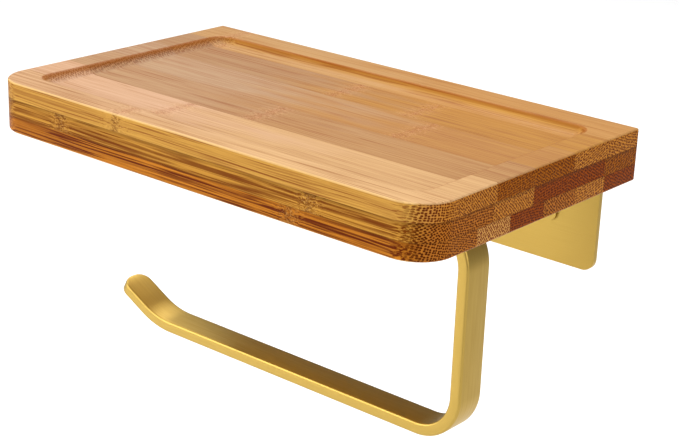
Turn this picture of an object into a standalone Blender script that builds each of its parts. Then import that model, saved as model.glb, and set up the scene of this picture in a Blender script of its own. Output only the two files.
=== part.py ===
"""Toilet paper holder: a laminated bamboo shelf on a folded metal bracket, with a flat-bar paper arm.

Metres. The origin is the centre of the wall plate's back face, on the wall. +X runs along the
shelf to its right end, where the arm comes down, +Y points into the wall, and +Z is up.
"""

import math

import bmesh
import bpy
import numpy as np

# Shelf board
SHELF_WIDTH = 0.200
SHELF_DEPTH = 0.120
SHELF_THICKNESS = 0.019
FRONT_CORNER_RADIUS = 0.0135
EDGE_EASING = 0.0008
OVERALL_HEIGHT = 0.105

# Recess routed into the top with a round-nosed cutter
RECESS_DEPTH = 0.003
RECESS_COVE_RADIUS = 0.0075
RECESS_CORNER_RADIUS = 0.0075
END_RIM = 0.010
BACK_RIM = 0.0115
FRONT_RIM = 0.0100

# The strips of each ply, as sawn, from the wall to the front. They share the depth in these parts.
PLIES = ("top", "middle", "bottom")
STRIP_WIDTHS = {
    "top": (0.0200, 0.0205, 0.0229, 0.0208, 0.0198, 0.0160),
    "middle": (0.0211, 0.0226, 0.0198, 0.0220, 0.0215, 0.0130),
    "bottom": (0.0206, 0.0180, 0.0185, 0.0188, 0.0178, 0.0263),
}

# Bracket, folded from one sheet
SHEET_THICKNESS = 0.002
PLATE_HEIGHT = 0.0375
FLANGE_DEPTH = 0.078
BRACKET_END_INSET = 0.012
FOLD_INNER_RADIUS = 0.002
SHEET_CORNER_RADIUS = 0.0048

# Paper arm, bent from flat bar
BAR_WIDTH = 0.0124
BAR_THICKNESS = 0.0047
BAR_EDGE_RADIUS = 0.0009
ARM_SETBACK = 0.0645
ARM_END_INSET = 0.0183
ARM_TIP_INSET = 0.0117
ARM_TOP_LENGTH = 0.078
LEG_BEND_RADIUS = 0.0162
TIP_BEND_RADIUS = 0.031
TIP_STRAIGHT = 0.015
TIP_ANGLE = math.radians(28)
BAR_END_RADIUS = 0.0046

# Holes and screws
WALL_HOLE_INSET = 0.0205
WALL_HOLE_RADIUS = 0.0024
WALL_SINK_RADIUS = 0.0036
SCREW_SHANK_RADIUS = 0.0016
SCREW_HEAD_RADIUS = 0.0031
SCREW_SINK_ANGLE = math.radians(45)
SCREW_GRIP = 0.009
SCREW_TIP_LENGTH = 0.002
SCREW_TIP_RADIUS = 0.0003
SCREW_RECESS_RADIUS = 0.0014
SCREW_RECESS_HALF_WIDTH = 0.00045
SCREW_RECESS_DEPTH = 0.0009
SHELF_SCREW_END_INSET = 0.018
SHELF_SCREW_WALL_OFFSET = 0.0297
SHELF_SCREW_FRONT_OFFSET = 0.0115
ARM_SCREW_END_INSET = 0.012
ARM_SCREW_BEND_INSET = 0.008

# Pieces that touch, or that pass through each other, stay this far apart
FIT_GAP = 0.0003

# Places worked out from the sizes above
PLATE_BOTTOM = -PLATE_HEIGHT / 2
FLANGE_TOP = PLATE_HEIGHT / 2
FLANGE_BOTTOM = FLANGE_TOP - SHEET_THICKNESS
SHELF_BOTTOM = FLANGE_TOP + FIT_GAP
SHELF_TOP = SHELF_BOTTOM + SHELF_THICKNESS
ARM_TOP = FLANGE_BOTTOM - FIT_GAP
ARM_BOTTOM = SHELF_TOP - OVERALL_HEIGHT
BRACKET_HALF_WIDTH = SHELF_WIDTH / 2 - BRACKET_END_INSET
LEG_OUTER_X = SHELF_WIDTH / 2 - ARM_END_INSET
ARM_TIP_X = -SHELF_WIDTH / 2 + ARM_TIP_INSET
ARM_FREE_END_X = LEG_OUTER_X - ARM_TOP_LENGTH
BEND_OUTER_RADIUS = LEG_BEND_RADIUS + BAR_THICKNESS / 2
CLEAR_RADIUS = SCREW_SHANK_RADIUS + FIT_GAP
CUT_MARGIN = 0.002
ROUND_SEGMENTS = 16

COLOURS = {
    "top": (0.72, 0.46, 0.22),
    "middle": (0.55, 0.29, 0.11),
    "bottom": (0.50, 0.23, 0.08),
    "brass": (0.76, 0.55, 0.22),
    "zinc": (0.62, 0.60, 0.55),
}


def clear_scene():
    for obj in list(bpy.data.objects):
        bpy.data.objects.remove(obj, do_unlink=True)


def make_material(name, colour, roughness, metallic):
    material = bpy.data.materials.new(name)
    material.use_nodes = True
    shader = material.node_tree.nodes["Principled BSDF"]
    shader.inputs["Base Color"].default_value = (*colour, 1)
    shader.inputs["Roughness"].default_value = roughness
    shader.inputs["Metallic"].default_value = metallic
    return material


def add_object(name, bm, material=None):
    """Puts a finished bmesh into the scene as one object, shaded smooth with sharp creases."""
    bmesh.ops.recalc_face_normals(bm, faces=bm.faces)
    mesh = bpy.data.meshes.new(name)
    bm.to_mesh(mesh)
    bm.free()
    mesh.shade_smooth()
    mesh.set_sharp_from_angle(angle=math.radians(35))
    if material:
        mesh.materials.append(material)
    obj = bpy.data.objects.new(name, mesh)
    bpy.context.scene.collection.objects.link(obj)
    return obj


def add_cutter(name, bm):
    cutter = add_object(name, bm)
    cutter.display_type = "WIRE"
    cutter.hide_render = True
    return cutter


def add_boolean(obj, cutter, operation):
    modifier = obj.modifiers.new(f"{operation.lower()} {cutter.name}", "BOOLEAN")
    modifier.operation = operation
    modifier.solver = "EXACT"
    modifier.object = cutter


def stack_loops(bm, loops):
    """Joins closed loops of equally many points, one after another, and caps both ends."""
    rings = [[bm.verts.new(point) for point in loop] for loop in loops]
    for lower, upper in zip(rings, rings[1:]):
        for i in range(len(lower)):
            j = (i + 1) % len(lower)
            bm.faces.new((lower[i], lower[j], upper[j], upper[i]))
    bm.faces.new(rings[0])
    bm.faces.new(rings[-1])


def arc(centre, radius, start, end, segments):
    """Points on an arc from the start angle to the end angle, both included."""
    angles = np.linspace(start, end, segments + 1)
    return [(centre[0] + radius * math.cos(a), centre[1] + radius * math.sin(a)) for a in angles]


def rounded_outline(x_low, x_high, y_low, y_high, radii, segments):
    """A rectangle whose corners, from low-low and counter-clockwise, have their own radii."""
    corners = ((x_low, y_low), (x_high, y_low), (x_high, y_high), (x_low, y_high))
    inward = ((1, 1), (-1, 1), (-1, -1), (1, -1))
    outline = []
    for k in range(4):
        (x, y), (dx, dy), radius = corners[k], inward[k], radii[k]
        if radius <= 0:
            outline.append((x, y))
            continue
        start = math.pi + k * math.pi / 2
        centre = (x + dx * radius, y + dy * radius)
        outline += arc(centre, radius, start, start + math.pi / 2, segments)
    return outline


def shelf_outline(inset):
    front = FRONT_CORNER_RADIUS - inset
    half = SHELF_WIDTH / 2 - inset
    return rounded_outline(-half, half, inset - SHELF_DEPTH, -inset, (front, front, 0, 0), 8)


def make_board_blank():
    """The whole board before it is divided: rounded front corners and eased edges."""
    steps = np.linspace(0, math.pi / 2, 3)
    eased = [(EDGE_EASING * (1 - math.sin(a)), EDGE_EASING * (1 - math.cos(a))) for a in steps]
    levels = [(inset, SHELF_BOTTOM + rise) for inset, rise in eased]
    levels += [(inset, SHELF_TOP - rise) for inset, rise in reversed(eased)]
    bm = bmesh.new()
    stack_loops(bm, [[(x, y, z) for x, y in shelf_outline(inset)] for inset, z in levels])
    return add_cutter("board_blank", bm)


def recess_outline(inset):
    half = SHELF_WIDTH / 2 - END_RIM - inset
    front = FRONT_RIM + inset - SHELF_DEPTH
    back = -BACK_RIM - inset
    radius = RECESS_CORNER_RADIUS - inset
    return rounded_outline(-half, half, front, back, (radius,) * 4, 5)


def make_recess_cutter():
    """The routed recess: its wall is the part of the cutter's round nose that sinks in."""
    steepest = math.acos(1 - RECESS_DEPTH / RECESS_COVE_RADIUS)
    floor = SHELF_TOP - RECESS_DEPTH
    levels = []
    for angle in np.linspace(0, steepest, 5):
        inset = RECESS_COVE_RADIUS * (math.sin(steepest) - math.sin(angle))
        levels.append((inset, floor + RECESS_COVE_RADIUS * (1 - math.cos(angle))))
    levels.append((0, SHELF_TOP + CUT_MARGIN))
    bm = bmesh.new()
    stack_loops(bm, [[(x, y, z) for x, y in recess_outline(inset)] for inset, z in levels])
    return add_cutter("recess_cutter", bm)


def shelf_screw_places():
    """Where the screws that hold the flange to the board alone go, as (x, y)."""
    x = BRACKET_HALF_WIDTH - SHELF_SCREW_END_INSET
    front = SHELF_SCREW_FRONT_OFFSET - FLANGE_DEPTH
    return [(-x, -SHELF_SCREW_WALL_OFFSET), (0, -SHELF_SCREW_WALL_OFFSET),
            (x, -SHELF_SCREW_WALL_OFFSET), (-x, front)]


def arm_screw_places():
    """Where the screws that go through the arm and the flange into the board go, as (x, y)."""
    left = ARM_FREE_END_X + ARM_SCREW_END_INSET
    right = LEG_OUTER_X - BEND_OUTER_RADIUS - ARM_SCREW_BEND_INSET
    return [(left, -ARM_SETBACK), (right, -ARM_SETBACK)]


def screw_reach():
    """How high every screw's point stands: the grip in the board, above the flange."""
    return SHELF_BOTTOM + SCREW_GRIP


def circle(place, radius, z):
    points = arc(place, radius, 0, 2 * math.pi, ROUND_SEGMENTS)[:-1]
    return [(x, y, z) for x, y in points]


def make_hole_cutter(name, places, radius, z_low, z_high):
    """Plain round holes along Z, one for each place."""
    bm = bmesh.new()
    for place in places:
        stack_loops(bm, [circle(place, radius, z_low), circle(place, radius, z_high)])
    return add_cutter(name, bm)


def make_sink_cutter(name, places, face_z):
    """Countersinks for the screw heads, opening downwards at face_z."""
    wide = SCREW_HEAD_RADIUS + FIT_GAP
    depth = (wide - CLEAR_RADIUS) / math.tan(SCREW_SINK_ANGLE)
    bm = bmesh.new()
    for place in places:
        stack_loops(bm, [
            circle(place, wide, face_z - CUT_MARGIN),
            circle(place, wide, face_z),
            circle(place, CLEAR_RADIUS, face_z + depth),
        ])
    return add_cutter(name, bm)


def strip_joints(ply):
    """The Y of each glue line of a ply, from the wall to the front edge."""
    widths = np.array(STRIP_WIDTHS[ply])
    return -SHELF_DEPTH * np.concatenate([[0], np.cumsum(widths)]) / widths.sum()


def ply_span(index):
    """Lowest and highest Z of a ply, without the glue line's gap. Ply 0 is the top one."""
    height = SHELF_THICKNESS / len(PLIES)
    high = SHELF_TOP - index * height
    low = high - height
    if index > 0:
        high -= FIT_GAP / 2
    if index < len(PLIES) - 1:
        low += FIT_GAP / 2
    return low, high


def make_box_cutter(name, low, high):
    outline = rounded_outline(low[0], high[0], low[1], high[1], (0,) * 4, 1)
    bm = bmesh.new()
    stack_loops(bm, [[(x, y, z) for x, y in outline] for z in (low[2], high[2])])
    return add_cutter(name, bm)


def make_strip(name, blank, cutters, low, high, material):
    """One glued strip: the stretch of the finished board that lies between its glue lines."""
    obj = bpy.data.objects.new(name, blank.data.copy())
    obj.data.materials.append(material)
    bpy.context.scene.collection.objects.link(obj)
    for cutter in cutters:
        add_boolean(obj, cutter, "DIFFERENCE")
    add_boolean(obj, make_box_cutter(name + "_bounds", low, high), "INTERSECT")


def make_board(blank, recess, pilots):
    beyond = SHELF_WIDTH / 2 + CUT_MARGIN
    for index, ply in enumerate(PLIES):
        material = make_material(f"bamboo_{ply}", COLOURS[ply], 0.45, 0)
        joints = strip_joints(ply)
        z_low, z_high = ply_span(index)
        z_low -= CUT_MARGIN if index == len(PLIES) - 1 else 0
        z_high += CUT_MARGIN if index == 0 else 0
        for k, (back, front) in enumerate(zip(joints, joints[1:])):
            y_high = CUT_MARGIN if k == 0 else back - FIT_GAP / 2
            y_low = front + FIT_GAP / 2 if k < len(joints) - 2 else front - CUT_MARGIN
            low, high = (-beyond, y_low, z_low), (beyond, y_high, z_high)
            make_strip(f"{ply}_strip_{k + 1}", blank, (recess, pilots), low, high, material)


def bracket_profile():
    """The folded sheet's section in (y, z): up the wall plate, round the fold, along the flange."""
    outer = FOLD_INNER_RADIUS + SHEET_THICKNESS
    centre = (-outer, FLANGE_TOP - outer)
    back = arc(centre, outer, 0, math.pi / 2, 6)
    front = arc(centre, FOLD_INNER_RADIUS, math.pi / 2, 0, 6)
    return ([(0, PLATE_BOTTOM)] + back + [(-FLANGE_DEPTH, FLANGE_TOP)]
            + [(-FLANGE_DEPTH, FLANGE_BOTTOM)] + front + [(-SHEET_THICKNESS, PLATE_BOTTOM)])


def make_plate_trim():
    """The plate's outline seen from the front, which rounds its two lower corners."""
    half = BRACKET_HALF_WIDTH
    radii = (SHEET_CORNER_RADIUS, SHEET_CORNER_RADIUS, 0, 0)
    outline = rounded_outline(-half, half, PLATE_BOTTOM, FLANGE_TOP + CUT_MARGIN, radii, 6)
    bm = bmesh.new()
    span = (-FLANGE_DEPTH - CUT_MARGIN, CUT_MARGIN)
    stack_loops(bm, [[(x, y, z) for x, z in outline] for y in span])
    return add_cutter("plate_trim", bm)


def make_flange_trim():
    """The flange's outline seen from below, which rounds its two front corners."""
    half = BRACKET_HALF_WIDTH
    radii = (SHEET_CORNER_RADIUS, SHEET_CORNER_RADIUS, 0, 0)
    outline = rounded_outline(-half, half, -FLANGE_DEPTH, CUT_MARGIN, radii, 6)
    bm = bmesh.new()
    span = (PLATE_BOTTOM - CUT_MARGIN, FLANGE_TOP + CUT_MARGIN)
    stack_loops(bm, [[(x, y, z) for x, y in outline] for z in span])
    return add_cutter("flange_trim", bm)


def make_wall_hole_cutter():
    """Two countersunk holes through the wall plate, at its mid-height."""
    x = BRACKET_HALF_WIDTH - WALL_HOLE_INSET
    face = -SHEET_THICKNESS
    sink = WALL_SINK_RADIUS - WALL_HOLE_RADIUS
    rings = ((CUT_MARGIN, WALL_HOLE_RADIUS), (face + sink, WALL_HOLE_RADIUS),
             (face, WALL_SINK_RADIUS), (face - CUT_MARGIN, WALL_SINK_RADIUS))
    bm = bmesh.new()
    for side in (-x, x):
        stack_loops(bm, [[(px, y, pz) for px, pz, _ in circle((side, 0), r, 0)] for y, r in rings])
    return add_cutter("wall_hole_cutter", bm)


def make_bracket(material):
    profile = bracket_profile()
    bm = bmesh.new()
    stack_loops(bm, [[(x, y, z) for y, z in profile]
                     for x in (-BRACKET_HALF_WIDTH, BRACKET_HALF_WIDTH)])
    bracket = add_object("wall_bracket", bm, material)
    clear = make_hole_cutter("flange_hole_cutter", shelf_screw_places() + arm_screw_places(),
                             CLEAR_RADIUS, FLANGE_BOTTOM - CUT_MARGIN, FLANGE_TOP + CUT_MARGIN)
    sinks = make_sink_cutter("flange_sink_cutter", shelf_screw_places(), FLANGE_BOTTOM)
    for trim in (make_plate_trim(), make_flange_trim()):
        add_boolean(bracket, trim, "INTERSECT")
    for cutter in (make_wall_hole_cutter(), clear, sinks):
        add_boolean(bracket, cutter, "DIFFERENCE")


def bend(start, heading, radius, angle, segments):
    """Points and headings along an arc that leaves start at heading; a positive angle turns left."""
    side = math.copysign(1, angle)
    cx = start[0] - side * radius * math.sin(heading)
    cz = start[1] + side * radius * math.cos(heading)
    turns = np.linspace(0, angle, segments + 1)
    return [((cx + side * radius * math.sin(heading + t), cz - side * radius * math.cos(heading + t)),
             heading + t) for t in turns]


def arm_path():
    """The bar's centreline in (x, z), as points with headings, from its hidden end to its tip."""
    half = BAR_THICKNESS / 2
    top, bottom = ARM_TOP - half, ARM_BOTTOM + half
    corner = LEG_OUTER_X - BEND_OUTER_RADIUS
    path = bend((corner, top), 0, LEG_BEND_RADIUS, -math.pi / 2, 8)
    path += bend((corner + LEG_BEND_RADIUS, bottom + LEG_BEND_RADIUS), -math.pi / 2,
                 LEG_BEND_RADIUS, -math.pi / 2, 8)
    run = TIP_BEND_RADIUS * math.sin(TIP_ANGLE)
    rise = TIP_BEND_RADIUS * (1 - math.cos(TIP_ANGLE))
    tip_run = TIP_STRAIGHT * math.cos(TIP_ANGLE)
    overhang = half * math.sin(TIP_ANGLE)
    start = ARM_TIP_X + overhang + tip_run + run
    path += bend((start, bottom), -math.pi, TIP_BEND_RADIUS, -TIP_ANGLE, 6)
    heading = -math.pi - TIP_ANGLE
    tip = (start - run - tip_run, bottom + rise + TIP_STRAIGHT * math.sin(TIP_ANGLE))
    return [((ARM_FREE_END_X, top), 0)] + path + [(tip, heading)]


def end_rings(point, heading, inward):
    """Rings that round a bar end in its own plane: each is narrower, and nearer the end."""
    rings = []
    for angle in np.linspace(0, math.pi / 2, 5):
        back = BAR_END_RADIUS * (1 - math.sin(angle)) * inward
        narrow = BAR_END_RADIUS * (1 - math.cos(angle))
        place = (point[0] + back * math.cos(heading), point[1] + back * math.sin(heading))
        rings.append((place, heading, narrow))
    return rings


def bar_section(narrow):
    """The bar's section as (across, through), narrowed on both sides, with eased long edges."""
    half = BAR_WIDTH / 2 - narrow
    through = BAR_THICKNESS / 2
    return rounded_outline(-half, half, -through, through, (BAR_EDGE_RADIUS,) * 4, 2)


def make_arm(material):
    path = arm_path()
    (start, start_heading), (tip, tip_heading) = path[0], path[-1]
    rings = end_rings(start, start_heading, 1)[::-1]
    rings += [(point, heading, 0) for point, heading in path[1:-1]]
    rings += end_rings(tip, tip_heading, -1)
    loops = []
    for (x, z), heading, narrow in rings:
        nx, nz = -math.sin(heading), math.cos(heading)
        loops.append([(x + t * nx, a - ARM_SETBACK, z + t * nz) for a, t in bar_section(narrow)])
    bm = bmesh.new()
    stack_loops(bm, loops)
    arm = add_object("paper_arm", bm, material)
    under = ARM_TOP - BAR_THICKNESS
    clear = make_hole_cutter("arm_hole_cutter", arm_screw_places(), CLEAR_RADIUS,
                             under - CUT_MARGIN, ARM_TOP + CUT_MARGIN)
    for cutter in (clear, make_sink_cutter("arm_sink_cutter", arm_screw_places(), under)):
        add_boolean(arm, cutter, "DIFFERENCE")


def make_drive_cutter(name, place, face_z):
    """The cross-shaped socket in a screw's head."""
    long, short = SCREW_RECESS_RADIUS, SCREW_RECESS_HALF_WIDTH
    outline = [(short, -long), (short, -short), (long, -short), (long, short), (short, short),
               (short, long), (-short, long), (-short, short), (-long, short), (-long, -short),
               (-short, -short), (-short, -long)]
    bm = bmesh.new()
    stack_loops(bm, [[(place[0] + x, place[1] + y, z) for x, y in outline]
                     for z in (face_z - CUT_MARGIN, face_z + SCREW_RECESS_DEPTH)])
    return add_cutter(name, bm)


def make_screw(name, place, head_z, material):
    """A countersunk wood screw that points up, its head flush with head_z."""
    cone = (SCREW_HEAD_RADIUS - SCREW_SHANK_RADIUS) / math.tan(SCREW_SINK_ANGLE)
    top = screw_reach()
    bm = bmesh.new()
    stack_loops(bm, [
        circle(place, SCREW_HEAD_RADIUS, head_z),
        circle(place, SCREW_HEAD_RADIUS, head_z + FIT_GAP / 2),
        circle(place, SCREW_SHANK_RADIUS, head_z + FIT_GAP / 2 + cone),
        circle(place, SCREW_SHANK_RADIUS, top - SCREW_TIP_LENGTH),
        circle(place, SCREW_TIP_RADIUS, top),
    ])
    screw = add_object(name, bm, material)
    add_boolean(screw, make_drive_cutter(name + "_drive", place, head_z), "DIFFERENCE")


def make_screws(material):
    for k, place in enumerate(shelf_screw_places()):
        make_screw(f"shelf_screw_{k + 1}", place, FLANGE_BOTTOM, material)
    for k, place in enumerate(arm_screw_places()):
        make_screw(f"arm_screw_{k + 1}", place, ARM_TOP - BAR_THICKNESS, material)


def main():
    clear_scene()
    brass = make_material("brushed_brass", COLOURS["brass"], 0.35, 1)
    zinc = make_material("zinc_plate", COLOURS["zinc"], 0.35, 1)
    pilots = make_hole_cutter("pilot_cutter", shelf_screw_places() + arm_screw_places(),
                              CLEAR_RADIUS, SHELF_BOTTOM - CUT_MARGIN, screw_reach() + FIT_GAP)
    make_board(make_board_blank(), make_recess_cutter(), pilots)
    make_bracket(brass)
    make_arm(brass)
    make_screws(zinc)


main()
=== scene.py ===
# %% [markdown]
# # A toilet paper holder: bamboo shelf, gold bracket, gold paper arm
#
# The holder is three crafts in one: a board glued up from bamboo strips and then routed like a
# tray, a bracket folded from brushed sheet, and an arm bent from flat bar. Each is built here
# the way its maker builds it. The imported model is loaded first. It fixes every place and size,
# and the pieces made here stand for its plain solids.

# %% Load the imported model
import math

import bmesh
import bpy
import numpy as np
from mathutils import Matrix, Vector


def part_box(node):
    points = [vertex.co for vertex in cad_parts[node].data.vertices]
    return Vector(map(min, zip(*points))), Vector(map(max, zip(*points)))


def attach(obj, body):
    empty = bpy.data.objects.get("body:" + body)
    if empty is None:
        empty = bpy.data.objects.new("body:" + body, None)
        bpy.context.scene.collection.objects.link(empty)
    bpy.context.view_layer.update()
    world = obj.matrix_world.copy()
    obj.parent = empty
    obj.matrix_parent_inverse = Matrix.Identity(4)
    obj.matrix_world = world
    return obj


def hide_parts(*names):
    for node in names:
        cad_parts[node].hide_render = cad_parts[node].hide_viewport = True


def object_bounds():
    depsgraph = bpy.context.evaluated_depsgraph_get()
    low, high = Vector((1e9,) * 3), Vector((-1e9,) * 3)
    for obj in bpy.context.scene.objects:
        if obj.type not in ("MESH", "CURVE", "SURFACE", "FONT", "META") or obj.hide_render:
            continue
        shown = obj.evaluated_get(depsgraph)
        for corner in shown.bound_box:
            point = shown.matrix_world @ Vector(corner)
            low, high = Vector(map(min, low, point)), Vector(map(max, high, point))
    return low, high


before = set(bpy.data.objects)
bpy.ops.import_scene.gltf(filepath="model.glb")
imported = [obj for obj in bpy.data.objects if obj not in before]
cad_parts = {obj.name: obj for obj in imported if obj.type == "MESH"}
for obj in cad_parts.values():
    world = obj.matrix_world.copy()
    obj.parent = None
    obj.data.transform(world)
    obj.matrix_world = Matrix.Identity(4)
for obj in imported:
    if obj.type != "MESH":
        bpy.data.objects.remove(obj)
cad_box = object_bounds()
MM = 0.001

low, high = (Vector(corner) for corner in cad_box)
print("holder box in mm:", [round(side / MM, 1) for side in high - low])

# %% [markdown]
# ## Camera
#
# A small thing is best seen through a long lens from some way off, so that its edges stay
# nearly parallel. The camera stands to the right of the holder and a little above it, and leans
# by two degrees. Its three axes come from its bearing, its tilt and its lean. The lens is
# shifted up a little, which frames the holder without tilting the camera further down.

# %% Camera
BEARING, TILT, LEAN = (math.radians(angle) for angle in (39.42, 20.87, 2.20))
# Where the camera stands, in metres: across and out from the wall, and above the board's top.
STAND = Vector((0.3716, -0.4864, 0.1622))
LENS_MM = 87.71
SHIFT = (-0.0122, 0.0380)


def add_camera():
    """Right lies along the bearing, up is square to right and to the line of sight, and the
    lean turns both about that line."""
    sight = Vector((-math.sin(BEARING) * math.cos(TILT),
                    math.cos(BEARING) * math.cos(TILT), -math.sin(TILT)))
    right = Vector((math.cos(BEARING), math.sin(BEARING), 0))
    up = right.cross(sight)
    leaned_right = right * math.cos(LEAN) + up * math.sin(LEAN)
    leaned_up = up * math.cos(LEAN) - right * math.sin(LEAN)
    turn = Matrix((leaned_right, leaned_up, -sight)).transposed()
    data = bpy.data.cameras.new("camera")
    data.lens = LENS_MM
    data.shift_x, data.shift_y = SHIFT
    camera = bpy.data.objects.new("camera", data)
    camera.matrix_world = Matrix.Translation(STAND + Vector((0, 0, high.z))) @ turn.to_4x4()
    bpy.context.scene.collection.objects.link(camera)
    bpy.context.scene.camera = camera
    return camera


camera = add_camera()
print("camera stands at", [round(x, 3) for x in camera.location])

# %% [markdown]
# ## From arrays to a closed mesh
#
# Most pieces here are a stack of rings: loops with the same number of points, one after
# another. A stack can be a board's outline at rising heights, a bar's section along its path, or
# a screw's circles along its axis. One function joins such a stack, so each piece only has to
# say where its rings are. Flat faces are shaded flat and curved ones smooth, because a large
# flat face that shares a soft edge would otherwise look dented.

# %% Meshes from rings
SHARP_ANGLE = math.radians(38)
SQUARE = 0.99999


def shade(mesh):
    """A face square to an axis is flat-shaded, and any other is smooth up to a sharp edge."""
    facing = np.empty(len(mesh.polygons) * 3)
    mesh.polygons.foreach_get("normal", facing)
    straight = np.abs(facing.reshape(-1, 3)).max(axis=1) > SQUARE
    mesh.polygons.foreach_set("use_smooth", ~straight)
    mesh.set_sharp_from_angle(angle=SHARP_ANGLE)


def ring_mesh(name, rings, uv=None):
    """rings is an array (ring, point, xyz). Point j of ring i joins point j + 1 and both
    points of ring i + 1 as a quad, and the first and the last ring are filled."""
    count, points = rings.shape[:2]
    index = np.arange(count * points).reshape(count, points)
    ahead = np.roll(index, -1, axis=1)
    quads = np.stack([index[:-1], ahead[:-1], ahead[1:], index[1:]], axis=-1).reshape(-1, 4)
    faces = quads.tolist() + [index[0, ::-1].tolist(), index[-1].tolist()]
    mesh = bpy.data.meshes.new(name)
    mesh.from_pydata(rings.reshape(-1, 3).tolist(), [], faces)
    if uv is not None:
        corners = np.empty(len(mesh.loops), int)
        mesh.loops.foreach_get("vertex_index", corners)
        layer = mesh.uv_layers.new(name="along")
        layer.data.foreach_set("uv", uv.reshape(-1, 2)[corners].ravel())
    piece = bpy.data.objects.new(name, mesh)
    bpy.context.scene.collection.objects.link(piece)
    turn_out(mesh)
    return piece


def turn_out(mesh):
    """Turns every face of a closed mesh outwards, and shades it."""
    bm = bmesh.new()
    bm.from_mesh(mesh)
    bmesh.ops.recalc_face_normals(bm, faces=bm.faces)
    bm.to_mesh(mesh)
    bm.free()
    shade(mesh)


def settle(piece):
    """Makes the result of the piece's modifiers its own mesh."""
    graph = bpy.context.evaluated_depsgraph_get()
    worked = bpy.data.meshes.new_from_object(piece.evaluated_get(graph))
    piece.modifiers.clear()
    piece.data = worked
    turn_out(worked)
    return piece


def cut(piece, tool, operation="DIFFERENCE"):
    modifier = piece.modifiers.new(tool.name, "BOOLEAN")
    modifier.operation = operation
    modifier.object = tool


def discard(*tools):
    for tool in tools:
        bpy.data.objects.remove(tool, do_unlink=True)


# %% [markdown]
# ## Outline of a board
#
# Seen from above, the board and its recess are both rectangles with rounded corners, so one
# function gives both. Moving such an outline inwards keeps its straight sides parallel and only
# shrinks the corner radii, which is what a round-over bit does as it follows the edge.

# %% Rounded rectangles
def arc(centre, radius, start, end, count):
    """Points at even angles from start to end on a circle, as an array (point, xy)."""
    angle = np.linspace(start, end, count)
    return np.stack([centre[0] + radius * np.cos(angle),
                     centre[1] + radius * np.sin(angle)], axis=-1)


def rounded(x_low, x_high, y_low, y_high, radii, count=17):
    """A rectangle as four quarter circles, counter-clockwise from the low-low corner. Each
    circle's centre lies its own radius inside both sides."""
    a, b, c, d = radii
    quarter = math.pi / 2
    return np.concatenate([
        arc((x_low + a, y_low + a), a, 2 * quarter, 3 * quarter, count),
        arc((x_high - b, y_low + b), b, 3 * quarter, 4 * quarter, count),
        arc((x_high - c, y_high - c), c, 0, quarter, count),
        arc((x_low + d, y_high - d), d, quarter, 2 * quarter, count),
    ])


def at_height(outline, z):
    return np.column_stack([outline, np.full(len(outline), z)])


# %% [markdown]
# ## The board before it is sawn apart
#
# A real tray is glued up first and routed afterwards, so the recess and the rounded edges run
# straight across the glue lines. The same order is kept here: one blank with its edges eased
# and its recess cut, and then the strips are taken out of it.
#
# The recess wall is the mark of a round-nosed bit that sinks in by less than its radius: a cove
# at the foot, a slope of about fifty degrees at the rim, and a rim that sanding has softened.

# %% Board blank
CORNER = 13.5 * MM
REAR_CORNER = 0.9 * MM
EASING = 0.8 * MM
END_RIM, BACK_RIM, FRONT_RIM = 10 * MM, 11.5 * MM, 10 * MM
RECESS_CORNER = 7.5 * MM
RECESS_DEPTH = 3 * MM
COVE, RIM_SOFTENING = 6 * MM, 2 * MM

board_top = high.z
board_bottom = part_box("bottom_strip_1")[0].z


def board_ring(inset, z):
    """The board's outline, moved in by inset."""
    front, rear = CORNER - inset, REAR_CORNER - inset
    return at_height(rounded(low.x + inset, high.x - inset, low.y + inset, high.y - inset,
                             (front, front, rear, rear)), z)


def recess_ring(inset, z):
    radius = RECESS_CORNER - inset
    return at_height(rounded(low.x + END_RIM + inset, high.x - END_RIM - inset,
                             low.y + FRONT_RIM + inset, high.y - BACK_RIM - inset,
                             (radius,) * 4), z)


def recess_wall():
    """Inset and depth down the wall. The slope s grows from 0 to its steepest round the
    softened rim and falls back to 0 round the cove. A turn of radius r from slope s to slope
    t moves in by r (sin t - sin s) and down by r (cos s - cos t)."""
    steepest = math.acos(1 - RECESS_DEPTH / (COVE + RIM_SOFTENING))
    rim = np.linspace(0, steepest, 7)
    cove = np.linspace(steepest, 0, 15)[1:]
    sine, cosine = math.sin(steepest), math.cos(steepest)
    inset = np.concatenate([RIM_SOFTENING * np.sin(rim),
                            RIM_SOFTENING * sine + COVE * (sine - np.sin(cove))])
    depth = np.concatenate([RIM_SOFTENING * (1 - np.cos(rim)),
                            RIM_SOFTENING * (1 - cosine) + COVE * (np.cos(cove) - cosine)])
    return zip(inset, depth)


def make_blank():
    """Rings up the outside, over the eased top edge, across the rim and down to the floor."""
    turn = np.linspace(0, math.pi / 2, 7)
    eased = list(zip(EASING * (1 - np.sin(turn)), EASING * (1 - np.cos(turn))))
    rings = [board_ring(inset, board_bottom + rise) for inset, rise in eased]
    rings += [board_ring(inset, board_top - rise) for inset, rise in reversed(eased)]
    rings += [recess_ring(inset, board_top - depth) for inset, depth in recess_wall()]
    return ring_mesh("blank", np.array(rings))


blank = make_blank()
print("blank faces:", len(blank.data.polygons))

# %% [markdown]
# ## Screws, and the holes they need
#
# Countersunk screws go up through the flange into the board, and two longer ones also hold the
# arm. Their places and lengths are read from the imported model. A screw is a profile turned
# about its axis, and its thread is cut into the profile as a row of small teeth: a true helix
# would be hidden in the wood. The same turned shape, slightly larger, cuts the holes.

# %% Screw shapes
SCREWS = sorted(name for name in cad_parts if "screw" in name)
HEAD_RADIUS, SHANK_RADIUS = 3.1 * MM, 1.6 * MM
HEAD_RIM, POINT_LENGTH, POINT_RADIUS = 0.15 * MM, 2 * MM, 0.2 * MM
THREAD_STEPS, THREAD_ROOT = 25, 0.72
DRIVE_LENGTH, DRIVE_WIDTH, DRIVE_DEPTH = 1.7 * MM, 0.45 * MM, 1.3 * MM
CLEARANCE = 0.3 * MM
AROUND = 48


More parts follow.
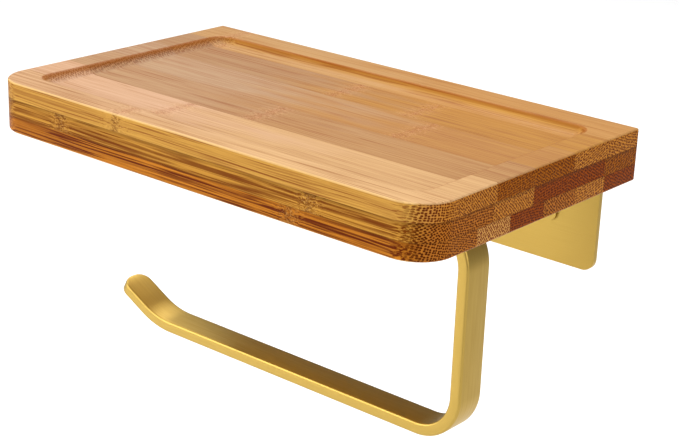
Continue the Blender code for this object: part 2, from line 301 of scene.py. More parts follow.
def turned(name, centre, radii, heights):
    """Rings of the given radii at the given heights, round a vertical axis through centre."""
    angle = np.linspace(0, 2 * math.pi, AROUND, endpoint=False)
    unit = np.stack([np.cos(angle), np.sin(angle), np.zeros(AROUND)], axis=-1)
    rings = np.asarray(radii)[:, None, None] * unit
    rings += np.array([centre.x, centre.y, 0])
    rings[..., 2] += np.asarray(heights)[:, None]
    return ring_mesh(name, rings)


def screw_axis(node):
    """The foot of the screw's axis, at its head, and the height of its point."""
    foot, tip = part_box(node)
    return Vector(((foot.x + tip.x) / 2, (foot.y + tip.y) / 2, foot.z)), tip.z


def hole_tool(node):
    """A cutter for one screw's hole: its head cone and shank, each wider by the clearance."""
    foot, tip = screw_axis(node)
    wide, narrow = HEAD_RADIUS + CLEARANCE, SHANK_RADIUS + CLEARANCE
    return turned("hole", foot, [wide, wide, narrow, narrow],
                  [foot.z - 2 * MM, foot.z, foot.z + wide - narrow, tip + CLEARANCE])


def pilot_tool(node):
    """The straight part of that hole, for the wood."""
    foot, tip = screw_axis(node)
    narrow = SHANK_RADIUS + CLEARANCE
    return turned("pilot", foot, [narrow, narrow], [board_bottom - MM, tip + CLEARANCE])


def drive_tool(node):
    """A cross that narrows as it goes into the head, to cut the screw's drive. One inner corner
    and the two tips beside it, turned round by quarters, give its outline."""
    foot, _ = screw_axis(node)
    corner = np.array([(DRIVE_WIDTH, -DRIVE_LENGTH), (DRIVE_WIDTH, -DRIVE_WIDTH),
                       (DRIVE_LENGTH, -DRIVE_WIDTH)])
    quarter_turn = np.array([(0, 1), (-1, 0)])
    cross = np.concatenate([corner @ np.linalg.matrix_power(quarter_turn, k) for k in range(4)])
    rings = [at_height(cross * size + [foot.x, foot.y], foot.z + z)
             for size, z in ((1.1, -0.5 * MM), (1, 0), (0.55, DRIVE_DEPTH))]
    return ring_mesh("drive", np.array(rings))


def make_screw(node):
    """Head cone, plain neck, toothed thread and point, from the head up."""
    foot, tip = screw_axis(node)
    neck = foot.z + HEAD_RADIUS - SHANK_RADIUS + HEAD_RIM
    thread = np.linspace(neck + MM, tip - POINT_LENGTH, THREAD_STEPS)
    teeth = np.where(np.arange(THREAD_STEPS) % 2, SHANK_RADIUS, SHANK_RADIUS * THREAD_ROOT)
    radii = np.concatenate([[HEAD_RADIUS, HEAD_RADIUS, SHANK_RADIUS], teeth, [POINT_RADIUS]])
    heights = np.concatenate([[foot.z, foot.z + HEAD_RIM, neck], thread, [tip]])
    screw = turned(node + "_finished", foot, radii, heights)
    drive = drive_tool(node)
    cut(screw, drive)
    settle(screw)
    discard(drive)
    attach(screw, "root")
    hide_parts(node)
    return screw


screws = [make_screw(node) for node in SCREWS]
print("screws made:", len(screws))

# %% [markdown]
# ## Sawing the blank into strips
#
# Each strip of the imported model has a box. The blank is intersected with that box, grown until
# only a hairline of glue is left between neighbours. Faces on the board's outside are grown
# past it, so that the blank's own surface is kept there.

# %% Strips
GLUE_LINE = 0.05 * MM


def saw_box(node):
    """The node's box, grown to half a glue line from its neighbours."""
    near, far = (np.array(corner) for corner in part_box(node))
    grow = (CLEARANCE - GLUE_LINE) / 2
    outside = 2 * MM
    reach = np.array([low, (high.x, high.y, board_top)])
    reach[0, 2] = board_bottom
    near = np.where(near - reach[0] < grow, reach[0] - outside, near - grow)
    far = np.where(reach[1] - far < grow, reach[1] + outside, far + grow)
    near[0], far[0] = low.x - outside, high.x + outside
    corners = np.array([(near[0], near[1]), (far[0], near[1]), (far[0], far[1]), (near[0], far[1])])
    return ring_mesh("saw", np.array([at_height(corners, near[2]), at_height(corners, far[2])]))


def make_strip(node):
    strip = bpy.data.objects.new("bamboo_" + node, blank.data.copy())
    bpy.context.scene.collection.objects.link(strip)
    saw = saw_box(node)
    cut(strip, saw, "INTERSECT")
    settle(strip)
    discard(saw)
    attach(strip, "root")
    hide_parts(node)
    return strip


def drill_blank():
    pilots = [pilot_tool(node) for node in SCREWS]
    for pilot in pilots:
        cut(blank, pilot)
    settle(blank)
    discard(*pilots)


drill_blank()
strips = {node: make_strip(node) for node in sorted(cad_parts) if "strip" in node}
discard(blank)
print("strips:", len(strips), "faces:", sum(len(strip.data.polygons) for strip in strips.values()))

# %% [markdown]
# ## Paper arm
#
# The arm is flat bar, bent cold three times: twice through a right angle, and gently at the
# tip so that a roll can't slide off. A path made of straight runs and arcs is all that the
# bending needs. Its heading is summed from how far each stretch turns, and a section with
# softened long edges is carried along it. Both ends are rounded like a tongue by narrowing the
# section over the last few millimetres.

# %% Arm path
arm_low, arm_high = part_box("paper_arm")
BAR = 4.7 * MM
BAR_WIDTH = arm_high.y - arm_low.y
BEND, TIP_BEND = 16.2 * MM, 31 * MM
TIP_ANGLE = math.radians(28)
TOP_RUN = 78 * MM - BEND - BAR / 2
TIP_RUN = 15 * MM
END_ROUND = 4.6 * MM


def arm_stretches():
    """(length, turn, steps) of each straight run and bend, from the hidden end to the tip."""
    quarter = math.pi / 2
    leg = arm_high.z - arm_low.z - 2 * BEND - BAR
    overhang = BAR / 2 * math.sin(TIP_ANGLE)
    lower_run = (arm_high.x - BAR / 2 - BEND - arm_low.x - overhang
                 - TIP_RUN * math.cos(TIP_ANGLE) - TIP_BEND * math.sin(TIP_ANGLE))
    return [(TOP_RUN, 0, 12), (BEND * quarter, -quarter, 28), (leg, 0, 10),
            (BEND * quarter, -quarter, 28), (lower_run, 0, 16),
            (TIP_BEND * TIP_ANGLE, -TIP_ANGLE, 18), (TIP_RUN, 0, 16)]


def follow(start, stretches):
    """Points, headings and lengths along the path. A step of length d that turns by t is a
    chord in the mean heading, d sin(t / 2) / (t / 2) long."""
    steps = np.concatenate([np.full(n, length / n) for length, _, n in stretches])
    turns = np.concatenate([np.full(n, turn / n) for _, turn, n in stretches])
    heading = np.concatenate([[0], np.cumsum(turns)])
    mean = (heading[:-1] + heading[1:]) / 2
    chord = steps * np.sinc(turns / (2 * math.pi))
    moves = np.stack([chord * np.cos(mean), chord * np.sin(mean)], axis=-1)
    points = np.concatenate([[start], start + np.cumsum(moves, axis=0)])
    return points, heading, np.concatenate([[0], np.cumsum(steps)])


# %% Arm
BAR_SOFTENING = 0.9 * MM


def end_stations(length):
    """Extra places near both ends, close together where the end's rounding turns fastest."""
    close = END_ROUND * (1 - np.cos(np.linspace(0, math.pi / 2, 12)))
    return np.concatenate([close, length - close])


def bar_rings(points, heading, along):
    """The section at each station. Within END_ROUND of an end, at distance d from it, each
    side is narrower by r - sqrt(r^2 - (r - d)^2) with r the rounding."""
    from_end = np.minimum(along, along[-1] - along).clip(0, END_ROUND)
    narrow = END_ROUND - np.sqrt(END_ROUND**2 - (END_ROUND - from_end)**2)
    # The pattern is a square of half width 1 whose corners have a radius of 1/2. Each point has
    # the signs of its corner, and corner is its place on that corner's circle, taken as 1.
    side = rounded(-1, 1, -1, 1, (0.5,) * 4, 7)
    sign = np.sign(side)
    corner = (side - sign * 0.5) * 2
    half = np.stack([BAR_WIDTH / 2 - narrow, np.full(len(along), BAR / 2)], axis=-1)[:, None, :]
    section = sign * (half - BAR_SOFTENING) + corner * BAR_SOFTENING
    across = np.array([-np.sin(heading), np.cos(heading)]).T[:, None, :]
    x = points[:, None, 0] + across[..., 0] * section[..., 1]
    z = points[:, None, 1] + across[..., 1] * section[..., 1]
    y = section[..., 0] + (arm_low.y + arm_high.y) / 2
    return np.stack([x, np.broadcast_to(y, x.shape), z], axis=-1)


def make_arm():
    start = np.array([arm_high.x - BAR / 2 - BEND - TOP_RUN, arm_high.z - BAR / 2])
    points, heading, along = follow(start, arm_stretches())
    stations = np.unique(np.concatenate([along, end_stations(along[-1])]).round(7))
    points = np.stack([np.interp(stations, along, points[:, k]) for k in (0, 1)], axis=-1)
    heading = np.interp(stations, along, heading)
    rings = bar_rings(points, heading, stations)
    around = np.linspace(0, 2 * (BAR + BAR_WIDTH), rings.shape[1])
    uv = np.stack(np.broadcast_arrays(stations[:, None], around[None, :]), axis=-1)
    arm = ring_mesh("gold_paper_arm", rings, uv)
    holes = [hole_tool(node) for node in SCREWS if node.startswith("arm")]
    for hole in holes:
        cut(arm, hole)
    settle(arm)
    discard(*holes)
    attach(arm, "root")
    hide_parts("paper_arm")
    return arm


arm = make_arm()
print("arm spans mm:", [round(side / MM, 2) for side in arm.dimensions])

# %% [markdown]
# ## Wall bracket
#
# The bracket starts as a flat blank with four rounded corners, and is then folded once. So the
# sheet's middle surface is a grid of two parameters: the place across, and the length along the
# blank, which runs up the plate, round the fold and out along the flange. Solidify gives
# it the sheet's thickness, and a small bevel takes the sharpness off, as tumbling does.

# %% Bracket
plate_low, plate_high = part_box("wall_bracket")
SHEET = 2 * MM
FOLD = 3 * MM
SHEET_CORNER = 4.8 * MM
WALL_HOLE_INSET = 20.5 * MM
WALL_HOLE, WALL_SINK = 2.4 * MM, 3.6 * MM
EDGE_TUMBLING = 0.3 * MM


def folded_line():
    """Length along the blank, and (y, z) there, on the sheet's middle."""
    half = SHEET / 2
    rise = plate_high.z - half - FOLD - plate_low.z
    reach = -plate_low.y - half - FOLD
    bend = FOLD * math.pi / 2
    corner = SHEET_CORNER * (1 - np.cos(np.linspace(0, math.pi / 2, 13)))
    total = rise + bend + reach
    fold = np.linspace(rise, rise + bend, 13)
    along = np.unique(np.concatenate([corner, fold, total - corner]).round(8))
    angle = ((along - rise) / FOLD).clip(0, math.pi / 2)
    y = -half - FOLD * (1 - np.cos(angle)) - (along - rise - bend).clip(0)
    z = plate_low.z + along.clip(0, rise) + FOLD * np.sin(angle)
    return along, y, z


def make_bracket():
    """Each row's half width shrinks near the ends of the blank as the corners' arcs do."""
    along, y, z = folded_line()
    from_end = np.minimum(along, along[-1] - along).clip(0, SHEET_CORNER)
    half = plate_high.x - SHEET_CORNER + np.sqrt(SHEET_CORNER**2 - (SHEET_CORNER - from_end)**2)
    share = np.linspace(-1, 1, 9)
    x = half[:, None] * share[None, :]
    grid = np.stack(np.broadcast_arrays(x, y[:, None], z[:, None]), axis=-1)
    rows, columns = x.shape
    index = np.arange(rows * columns).reshape(rows, columns)
    quads = np.stack([index[:-1, :-1], index[:-1, 1:], index[1:, 1:], index[1:, :-1]], axis=-1)
    mesh = bpy.data.meshes.new("gold_wall_bracket")
    mesh.from_pydata(grid.reshape(-1, 3).tolist(), [], quads.reshape(-1, 4).tolist())
    corners = np.empty(len(mesh.loops), int)
    mesh.loops.foreach_get("vertex_index", corners)
    uv = np.stack(np.broadcast_arrays(x, along[:, None]), axis=-1).reshape(-1, 2)
    mesh.uv_layers.new(name="along").data.foreach_set("uv", uv[corners].ravel())
    bracket = bpy.data.objects.new("gold_wall_bracket", mesh)
    bpy.context.scene.collection.objects.link(bracket)
    return bracket


def thicken(bracket):
    solid = bracket.modifiers.new("thickness", "SOLIDIFY")
    solid.thickness = SHEET
    solid.offset = 0
    soft = bracket.modifiers.new("tumbled edges", "BEVEL")
    soft.width = EDGE_TUMBLING
    soft.segments = 3
    soft.limit_method = "ANGLE"
    soft.angle_limit = math.radians(60)
    settle(bracket)


def wall_hole_tool(x):
    """A countersunk hole along Y: its rings are turned about Z and then laid down."""
    front = -SHEET
    sink = WALL_SINK - WALL_HOLE
    tool = turned("wall_hole", Vector((0, 0, 0)), [WALL_SINK, WALL_SINK, WALL_HOLE, WALL_HOLE],
                  [-MM, 0, sink, SHEET + MM])
    tool.data.transform(Matrix.Translation((x, front, 0)) @ Matrix.Rotation(-math.pi / 2, 4, "X"))
    return tool


def through_tool(node):
    """A plain hole through the flange, for a screw that is countersunk in the arm below."""
    foot, _ = screw_axis(node)
    narrow = SHANK_RADIUS + CLEARANCE
    return turned("through", foot, [narrow, narrow], [arm_high.z, board_bottom + MM])


def finish_bracket(bracket):
    thicken(bracket)
    side = plate_high.x - WALL_HOLE_INSET
    tools = [wall_hole_tool(-side), wall_hole_tool(side)]
    tools += [hole_tool(node) for node in SCREWS if node.startswith("shelf")]
    tools += [through_tool(node) for node in SCREWS if node.startswith("arm")]
    for tool in tools:
        cut(bracket, tool)
    settle(bracket)
    discard(*tools)
    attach(bracket, "root")
    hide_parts("wall_bracket")
    return bracket


bracket = finish_bracket(make_bracket())
print("bracket spans mm:", [round(side / MM, 2) for side in bracket.dimensions])

# %% [markdown]
# ## A short way to write node trees
#
# The finishes below are node trees. A few helpers keep them readable. The first adds a node
# and wires what it is given, and the others are the arithmetic, the mixing and the stretching
# of patterns that every finish needs. Colours are written as screen colours, because that is
# how a maker picks them, and turned into the linear light that shaders use.

# %% Node helpers
def paint(code):
    """A screen colour such as "c08040" as linear red, green, blue and alpha. A channel c
    becomes ((c + 0.055) / 1.055) ^ 2.4."""
    channels = np.array([int(code[k:k + 2], 16) for k in (0, 2, 4)]) / 255
    linear = np.where(channels > 0.04045, ((channels + 0.055) / 1.055) ** 2.4, channels / 12.92)
    return (*linear, 1.0)


def add(tree, kind, sockets=(), output=0, **settings):
    """Adds a node. sockets pairs an input's name or number with a value or another output."""
    made = tree.nodes.new("ShaderNode" + kind)
    for key, value in settings.items():
        setattr(made, key, value)
    for key, value in dict(sockets).items():
        if isinstance(value, bpy.types.NodeSocket):
            tree.links.new(value, made.inputs[key])
        else:
            made.inputs[key].default_value = value
    return made.outputs[output]


def calc(tree, operation, *values):
    return add(tree, "Math", dict(enumerate(values)), operation=operation)


def smooth(tree, value, start, end, low_out=0.0, high_out=1.0):
    """Rises smoothly from low_out at start to high_out at end."""
    return add(tree, "MapRange", {"Value": value, "From Min": start, "From Max": end,
                                  "To Min": low_out, "To Max": high_out},
               interpolation_type="SMOOTHSTEP")


def mix(tree, share, first, second):
    """Mixes two colours: none of the second at share 0, all of it at 1."""
    made = tree.nodes.new("ShaderNodeMix")
    made.data_type = "RGBA"
    for number, value in ((0, share), (6, first), (7, second)):
        if isinstance(value, bpy.types.NodeSocket):
            tree.links.new(value, made.inputs[number])
        else:
            made.inputs[number].default_value = value
    return made.outputs[2]


def coordinate(tree, place, axis):
    """One number of a place: 0 is X, 1 is Y and 2 is Z."""
    return add(tree, "SeparateXYZ", {0: place}, output=axis)


def shifted(tree, place, shift):
    return add(tree, "VectorMath", {0: place, 1: shift}, operation="ADD")


def scaled(tree, place, factor):
    return add(tree, "VectorMath", {0: place, "Scale": factor}, operation="SCALE")


def stretched(tree, place, scale):
    """place multiplied axis by axis: a small factor draws a pattern out along its axis."""
    return add(tree, "VectorMath", {0: place, 1: scale}, operation="MULTIPLY")


def noise(tree, place, detail=2.0, output=0):
    """Output 0 is a number round 0.5, and output 1 is a vector of three such numbers."""
    return add(tree, "TexNoise", {"Vector": place, "Scale": 1.0, "Detail": detail}, output)


def drawn_noise(tree, place, along, across, detail=2.0, output=0):
    """Noise that changes at one rate along X and at another rate across it."""
    return noise(tree, stretched(tree, place, (along, across, across)), detail, output)


# %% [markdown]
# ## Bamboo as a solid
#
# Bamboo has no rings. It is a bundle of long dark fibres in pale tissue, and each fibre runs
# the whole length of the strip. So the pattern is worked out in the strip's cross-section
# only, and drawn out along X. Wherever the strip is cut, the right figure then shows by
# itself: dots on the end grain, lines along the front, and stretched dots round a corner or
# down the wall of the recess.
#
# A culm also has knuckles, where its fibres tangle. There the cross-section coordinates are
# stirred by noise, and the tissue darkens in a thin wavy plane across the strip.

# %% Fibres shared by every strip
FAR_AWAY = 1000.0
# A knuckle's half widths along X, in millimetres: where its fibres tangle, and its dark middle.
HALO, CORE = 4.5, 1.8
# How far noise moves a knuckle's plane along X, and tangled fibres across, in millimetres.
WAVE, TANGLE = 7.0, 3.0
DRIFT = 2.4


def knuckle_nearness(tree, distance, knuckle, width):
    """exp(-(d / width)^2), where d is the distance along X from the knuckle's wavy plane."""
    away = calc(tree, "DIVIDE", calc(tree, "SUBTRACT", distance, knuckle), width)
    square = calc(tree, "MULTIPLY", away, away)
    return calc(tree, "EXPONENT", calc(tree, "MULTIPLY", square, -1.0))


def knuckle_masks(tree, place, moved, given):
    """The halo and the core of the nearer knuckle, after noise has made its plane wavy."""
    wave = drawn_noise(tree, moved, 0.3, 0.5, 4.0)
    start = calc(tree, "ADD", coordinate(tree, place, 0), -WAVE / 2)
    waved_x = calc(tree, "MULTIPLY_ADD", wave, WAVE, start)
    return [calc(tree, "MAXIMUM", knuckle_nearness(tree, waved_x, given["Knuckle A"], width),
                 knuckle_nearness(tree, waved_x, given["Knuckle B"], width))
            for width in (HALO, CORE)]


def woven_place(tree, moved, halo):
    """The place in the culm: it drifts slowly along X, and near a knuckle it is tangled."""
    drift = stretched(tree, drawn_noise(tree, moved, 0.011, 0.05, output=1), (0, DRIFT, DRIFT))
    stir = shifted(tree, drawn_noise(tree, moved, 0.5, 0.8, output=1), (-0.5, -0.5, -0.5))
    tangle = scaled(tree, stretched(tree, stir, (0, 1, 1)), calc(tree, "MULTIPLY", halo, TANGLE))
    return shifted(tree, shifted(tree, moved, drift), tangle)


def bundle_distance(tree, woven, given):
    """How far the nearest bundle is in the cross-section, counted in the culm's pitch."""
    rolled = add(tree, "VectorRotate", {"Vector": woven, "Angle": given["Turn"]},
                 rotation_type="X_AXIS")
    across, rise = (calc(tree, "DIVIDE", coordinate(tree, rolled, axis), given["Pitch"])
                    for axis in (1, 2))
    section = add(tree, "CombineXYZ", {0: across, 1: rise})
    return add(tree, "TexVoronoi", {"Vector": section, "Scale": 1.0, "Randomness": 0.4},
               voronoi_dimensions="2D")


def bamboo_fibres():
    """A group that turns a place in the board into fibre figures, each from 0 to 1."""
    tree = bpy.data.node_groups.new("bamboo fibres", "ShaderNodeTree")
    for name, kind in (("Shift", "Vector"), ("Turn", "Float"), ("Pitch", "Float"),
                       ("Knuckle A", "Float"), ("Knuckle B", "Float")):
        tree.interface.new_socket(name, in_out="INPUT", socket_type="NodeSocket" + kind)
    given = tree.nodes.new("NodeGroupInput").outputs
    place = scaled(tree, add(tree, "TexCoord", output="Object"), 1 / MM)
    moved = shifted(tree, place, given["Shift"])
    halo, core = knuckle_masks(tree, place, moved, given)
    woven = woven_place(tree, moved, halo)
    speckle = smooth(tree, drawn_noise(tree, moved, 1.1, 2.0, 1.0), 0.42, 0.58, 0.15, 1.0)
    contour = calc(tree, "SUBTRACT", drawn_noise(tree, moved, 0.6, 1.1), 0.5)
    thread = smooth(tree, calc(tree, "ABSOLUTE", contour), 0.05, 0.0)
    figures = {
        "Bundles": smooth(tree, bundle_distance(tree, woven, given), 0.46, 0.32),
        "Dashes": smooth(tree, drawn_noise(tree, woven, 0.02, 1.8, 1.0), 0.56, 0.66),
        "Streaks": smooth(tree, drawn_noise(tree, woven, 0.006, 0.45, 3.0), 0.3, 0.7),
        "Fibres": smooth(tree, drawn_noise(tree, woven, 0.02, 1.9), 0.4, 0.6),
        "Knuckle": calc(tree, "MULTIPLY", core, speckle),
        "Scribble": calc(tree, "MULTIPLY", halo, thread),
        "Cloud": smooth(tree, drawn_noise(tree, moved, 0.02, 0.12, 3.0), 0.3, 0.7),
    }
    result = tree.nodes.new("NodeGroupOutput")
    for name, value in figures.items():
        tree.interface.new_socket(name, in_out="OUTPUT", socket_type="NodeSocketFloat")
        tree.links.new(value, result.inputs[name])
    return tree


fibres = bamboo_fibres()
print("nodes in the fibre group:", len(fibres.nodes))

# %% [markdown]
# ## One finish for each strip
#
# Bamboo stems, or culms, differ in colour, and the board's character is in that mixture. A
# strip also looks different by the way it is cut: pale and soft on its broad face, golden on
# its edge, and darker on the end grain, which drinks the lacquer. So the end grain takes the
# tissue and the bundles of its culm, while faces and edges have a ground colour and a line
# colour each. The surface normal chooses among them.

# %% Strip colours
# Each culm's end grain: its tissue and its bundles.
CULMS = {"blond": ("c89048", "682008"), "pale": ("c07c2c", "602808"),
         "honey": ("b06820", "502000"), "russet": ("a05808", "502000"),
         "dark": ("924200", "481800")}
# Which culm each strip of a ply was sawn from, from the wall to the front.
SAWN_FROM = {"top": ("pale", "pale", "russet", "russet", "pale", "pale"),
             "middle": ("russet", "dark", "dark", "pale", "honey", "honey"),
             "bottom": ("dark", "pale", "honey", "dark", "blond", "honey")}
# The broad face at its left and at its right, and its lines, for each top strip and for the
# strips that show only from below. On the top strips the change from left to right is partly the
# strip's own tone and partly a painted sheen, paler on the left.
TOP_FACES = (("b89060", "b88850", "905828"), ("a88460", "b48240", "885030"),
             ("b09070", "b08048", "905838"), ("b08c68", "b08658", "885030"),
             ("c8a080", "c8a070", "a07048"), ("c8a078", "d0a878", "885020"))
UNDERSIDE = ("b07840", "b07840", "7c4a1c")
# An edge and its lines, for each ply, and how strongly the lines show.
EDGES = {"top": ("c89644", "885020"), "middle": ("c89038", "703808"),
         "bottom": ("c47a22", "602404")}
EDGE_LINES = {"top": 1.3, "middle": 1.7, "bottom": 2.1}
# Where each strip's knuckles lie along X, in millimetres.
KNUCKLES = {"top_strip_1": (-84, FAR_AWAY), "top_strip_2": (28.9, -6.4),
            "top_strip_3": (42.3, FAR_AWAY), "top_strip_4": (-6.1, FAR_AWAY),
            "top_strip_5": (-32.5, FAR_AWAY), "top_strip_6": (-34.5, FAR_AWAY),
            "middle_strip_6": (-62.7, 54), "bottom_strip_6": (46, FAR_AWAY)}
# How far in millimetres below a ply's upper glue line the wood is coloured darker, and how dark.
BELOW_GLUE_LINE = {"top": (0.3, 0.0), "middle": (1.6, 0.6), "bottom": (0.5, 0.4)}
# Laid over the wood: a painted shade along the rim of the recess, a painted highlight on the
# eased front edges, and a darker brown just below a glue line. A knuckle's blotch and its pale
# threads are the wood's own marks, with one colour on a broad face and one on an edge.
LIP_SHADE, ARRIS_HIGHLIGHT, BELOW_GLUE_BROWN = "94500f", "f4d090", "54300c"
BLOTCH, THREADS = ("8c4a24", "6a3810"), ("f0b890", "e0b060")


def object_place(tree):
    """The three numbers of a place on the piece."""
    place = add(tree, "TexCoord", output="Object")
    return [coordinate(tree, place, axis) for axis in range(3)]


def cut_directions(tree, x, y):
    """Five shares from 0 to 1, from the surface normal and the place: where fibre ends show,
    where the tissue is end grain, edge, the eased edges along the front that get a painted
    highlight, and the sloping wall of the recess. End grain cut at a slant, as on that wall, shows
    only six tenths."""
    normal = add(tree, "TexCoord", output="Normal")
    normal = add(tree, "VectorMath", {0: normal}, operation="ABSOLUTE")
    across, along, up = (coordinate(tree, normal, axis) for axis in range(3))
    from_ends = smooth(tree, calc(tree, "ABSOLUTE", x), high.x - 4 * MM, high.x - 6 * MM)
    inside = calc(tree, "MULTIPLY", smooth(tree, y, low.y + 4 * MM, low.y + 6 * MM), from_ends)
    tilted = calc(tree, "MULTIPLY", smooth(tree, up, 0.3, 0.5), smooth(tree, up, 0.999, 0.93))
    wall = calc(tree, "MULTIPLY", tilted, inside)
    square_cut = calc(tree, "MAXIMUM", smooth(tree, up, 0.6, 0.2),
                      calc(tree, "MULTIPLY", wall, 0.6))
    fibre_ends, end_tissue = (
        calc(tree, "MULTIPLY", smooth(tree, across, start, full), square_cut)
        for start, full in ((0.12, 0.7), (0.35, 1.0)))
    # Painted highlight: the eased edges along the front are painted paler, as if they caught the
    # light.
    front = smooth(tree, y, low.y + 3 * MM, low.y + 2 * MM)
    arris_highlight = calc(tree, "MULTIPLY", tilted, front)
    return fibre_ends, end_tissue, smooth(tree, along, 0.3, 0.85), arris_highlight, wall


def fibre_figures(tree, node, number):
    """The shared group, with this strip's own shift, turn, pitch and knuckles."""
    first, second = KNUCKLES.get(node, (FAR_AWAY, FAR_AWAY))
    group = tree.nodes.new("ShaderNodeGroup")
    group.node_tree = fibres
    settings = {"Shift": (37.0 * number, 11.3 * number, 5.7 * number),
                "Turn": 0.5 + 0.9 * number, "Pitch": 0.98 - 0.035 * (number % 6),
                "Knuckle A": first, "Knuckle B": second}
    for name, value in settings.items():
        group.inputs[name].default_value = value
    return group.outputs


def lengthwise_colour(tree, figure, ply, index, side, x):
    """Broad face or edge, with fine dark lines drawn into it."""
    left, right, face_line = map(paint, TOP_FACES[index] if ply == "top" else UNDERSIDE)
    edge, edge_line = map(paint, EDGES[ply])
    cloudy_x = calc(tree, "MULTIPLY_ADD", figure["Cloud"], 0.05, x)
    # Left to right across the face: partly the strip's own tone, partly a painted sheen that pales
    # the left.
    face = mix(tree, smooth(tree, cloudy_x, -0.03, 0.07), left, right)
    base = mix(tree, side, face, edge)
    patchy = calc(tree, "MULTIPLY", figure["Fibres"],
                  calc(tree, "MULTIPLY_ADD", figure["Cloud"], 0.35, 0.1))
    fine = calc(tree, "MULTIPLY_ADD", figure["Dashes"], 0.5, patchy)
    depth = calc(tree, "MULTIPLY_ADD", figure["Streaks"], 0.2, fine)
    strength = smooth(tree, side, 0, 1, 0.8, EDGE_LINES[ply])
    line = mix(tree, side, face_line, edge_line)
    return mix(tree, calc(tree, "MULTIPLY", depth, strength), base, line)


def darker_below_glue_line(tree, ply, z):
    """Darkness just under the ply's upper glue line, uneven along it."""
    reach, dark = BELOW_GLUE_LINE[ply]
    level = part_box(ply + "_strip_1")[1].z
    uneven = noise(tree, stretched(tree, add(tree, "TexCoord", output="Object"), (25, 0, 0)))
    darkening = calc(tree, "MULTIPLY", uneven, dark * 1.6)
    return calc(tree, "MULTIPLY", smooth(tree, z, level - reach * MM, level), darkening)


def strip_colour(tree, node, figure):
    """The strip's colour and its share of fibre ends. Wood comes first: lengthwise or end
    tissue, and then bundles. Over it are laid, one by one, a painted shade along the rim of the
    recess, a knuckle's blotch and threads, a painted highlight on the front edges, and a darker
    band just below the ply's upper glue line."""
    ply, index = node.split("_")[0], int(node[-1]) - 1
    tissue, bundle = map(paint, CULMS[SAWN_FROM[ply][index]])
    x, y, z = object_place(tree)
    ends, end_tissue, side, arris_highlight, wall = cut_directions(tree, x, y)
    body = mix(tree, end_tissue, lengthwise_colour(tree, figure, ply, index, side, x), tissue)
    # Painted shade: the wall of the recess is painted darker towards its rim.
    lip_shade = smooth(tree, z, high.z - 2.0 * MM, high.z - 0.4 * MM, 0.1, 0.65)
    blotch = calc(tree, "MULTIPLY_ADD", side, 0.35, 0.45)
    layers = [(calc(tree, "MULTIPLY", figure["Bundles"], ends), bundle),
              (calc(tree, "MULTIPLY", wall, lip_shade), paint(LIP_SHADE)),
              (calc(tree, "MULTIPLY", figure["Knuckle"], blotch),
               mix(tree, side, *map(paint, BLOTCH))),
              (calc(tree, "MULTIPLY", figure["Scribble"], 0.3),
               mix(tree, side, *map(paint, THREADS))),
              (calc(tree, "MULTIPLY", arris_highlight, 0.45), paint(ARRIS_HIGHLIGHT)),
              (darker_below_glue_line(tree, ply, z), paint(BELOW_GLUE_BROWN))]
    colour = body
    for share, layer in layers:
        colour = mix(tree, share, colour, layer)
    return colour, ends


def bamboo_finish(node, number):
    """Satin lacquer over one strip. number moves the pattern, so that no two strips match."""
    material = bpy.data.materials.new("bamboo of " + node)
    material.use_nodes = True
    tree = material.node_tree
    figure = fibre_figures(tree, node, number)
    colour, ends = strip_colour(tree, node, figure)
    grain = calc(tree, "MULTIPLY_ADD", figure["Bundles"],
                 calc(tree, "MULTIPLY_ADD", ends, 0.8, 0.15),
                 calc(tree, "MULTIPLY", figure["Fibres"], 0.25))
    roughness = calc(tree, "MULTIPLY_ADD", figure["Fibres"], 0.12, 0.3)
    bump = add(tree, "Bump", {"Height": grain, "Strength": 0.35, "Distance": 0.05 * MM})
    shader = tree.nodes["Principled BSDF"]
    tree.links.new(colour, shader.inputs["Base Color"])
    tree.links.new(roughness, shader.inputs["Roughness"])
    tree.links.new(bump, shader.inputs["Normal"])
    shader.inputs["Specular IOR Level"].default_value = 0.03
    return material


def coat(piece, material):
    """Gives a piece one material and no other."""
    piece.data.materials.clear()
    piece.data.materials.append(material)


for number, (node, strip) in enumerate(strips.items()):
    coat(strip, bamboo_finish(node, number))
print("bamboo finishes:", len(strips))

# %% [markdown]
# ## Brushed gold
#
# The metal is brushed along its length and then coated, so it is soft and satin, with fine
# scratches that only show near a highlight. The scratches are noise drawn out along the length
# of the piece, which its UV map measures in metres. They move the roughness and the bump a
# little, and the colour hardly at all.

# %% Gold
def gold_finish(name, colour, deep, roughness):
    material = bpy.data.materials.new(name)
    material.use_nodes = True
    tree = material.node_tree
    place = add(tree, "UVMap", uv_map="along")
    scratches = noise(tree, stretched(tree, place, (60, 9000, 0)), 3.0)
    cloud = noise(tree, stretched(tree, place, (40, 90, 0)), 2.0)
    tone = calc(tree, "MULTIPLY_ADD", scratches, 0.5, calc(tree, "MULTIPLY", cloud, 0.3))
    shader = tree.nodes["Principled BSDF"]
    tree.links.new(mix(tree, tone, paint(colour), paint(deep)), shader.inputs["Base Color"])
    tree.links.new(smooth(tree, scratches, 0.2, 0.8, roughness - 0.06, roughness + 0.08),
                   shader.inputs["Roughness"])
    bump = add(tree, "Bump", {"Height": scratches, "Strength": 0.25, "Distance": 0.02 * MM})
    tree.links.new(bump, shader.inputs["Normal"])
    shader.inputs["Metallic"].default_value = 1
    return material


gold = gold_finish("brushed gold", "bc9e50", "ac8c44", 0.42)
for piece in (arm, bracket):
    coat(piece, gold)
print("gold pieces:", arm.name, bracket.name)

# %% [markdown]
# The screws are plated, and a driver has worn their heads. They are small and face down, so a
# plain object pattern is enough for them: fine turning marks and a little dullness.

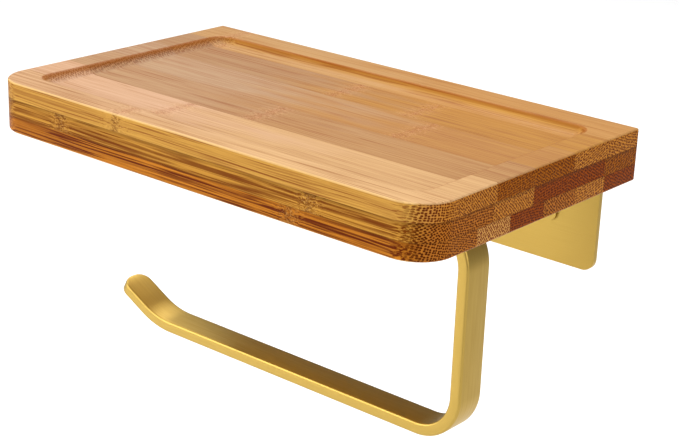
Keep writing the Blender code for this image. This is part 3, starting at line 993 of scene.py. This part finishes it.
# %% Screw plating
def plated_finish():
    material = bpy.data.materials.new("gold plated screws")
    material.use_nodes = True
    tree = material.node_tree
    place = add(tree, "TexCoord", output="Object")
    marks = noise(tree, stretched(tree, place, (2500, 2500, 6000)))
    worn = mix(tree, marks, paint("dcc07c"), paint("b8934a"))
    shader = tree.nodes["Principled BSDF"]
    tree.links.new(worn, shader.inputs["Base Color"])
    tree.links.new(smooth(tree, marks, 0.3, 0.7, 0.25, 0.45), shader.inputs["Roughness"])
    shader.inputs["Metallic"].default_value = 1
    return material


plating = plated_finish()
for screw in screws:
    coat(screw, plating)
print("plated screws:", len(screws))

# %% [markdown]
# ## Floor and light
#
# The holder hangs in the air above a plain pale floor. Far below it the floor takes only a
# faint shadow, and it bounces light up into the gold. A wide soft light above lights the tray,
# a second one to the left of the camera lights the front, and a weak one on the right keeps the
# end grain from going dark.

# %% Floor
FLOOR_BELOW, FLOOR_HALF, FLOOR_THICKNESS = 0.42, 6.0, 0.02
# Where each light stands, what it points at, its side in metres and its power in watts.
LIGHTS = {"overhead": ((-0.9, 1.0, 2.2), (-0.9, 1.0, 0), 2.6, 97),
          "front left": ((-1.2, -1.5, 0.5), (0, 0, -0.05), 1.4, 33),
          "right fill": ((1.6, -0.5, 0.6), (0, 0, 0), 1.2, 14)}
SURROUNDINGS = 0.3


def add_floor():
    corners = FLOOR_HALF * np.array([(-1, -1), (1, -1), (1, 1), (-1, 1)])
    level = low.z - FLOOR_BELOW
    floor = ring_mesh("floor", np.array([at_height(corners, level - FLOOR_THICKNESS),
                                         at_height(corners, level)]))
    material = bpy.data.materials.new("pale floor")
    material.use_nodes = True
    shader = material.node_tree.nodes["Principled BSDF"]
    shader.inputs["Base Color"].default_value = paint("f4f4f4")
    shader.inputs["Roughness"].default_value = 0.9
    floor.data.materials.append(material)


def add_light(name, place, target, size, power):
    data = bpy.data.lights.new(name, "AREA")
    data.size = size
    data.energy = power
    light = bpy.data.objects.new(name, data)
    light.location = place
    light.rotation_euler = (Vector(target) - Vector(place)).to_track_quat("-Z", "Y").to_euler()
    bpy.context.scene.collection.objects.link(light)


def add_surroundings(brightness):
    world = bpy.data.worlds.new("studio")
    world.use_nodes = True
    background = world.node_tree.nodes["Background"]
    background.inputs["Color"].default_value = (1, 1, 1, 1)
    background.inputs["Strength"].default_value = brightness
    bpy.context.scene.world = world


add_floor()
for name, settings in LIGHTS.items():
    add_light(name, *settings)
add_surroundings(SURROUNDINGS)
bpy.context.scene.view_settings.view_transform = "Standard"
print("lights:", ", ".join(LIGHTS))
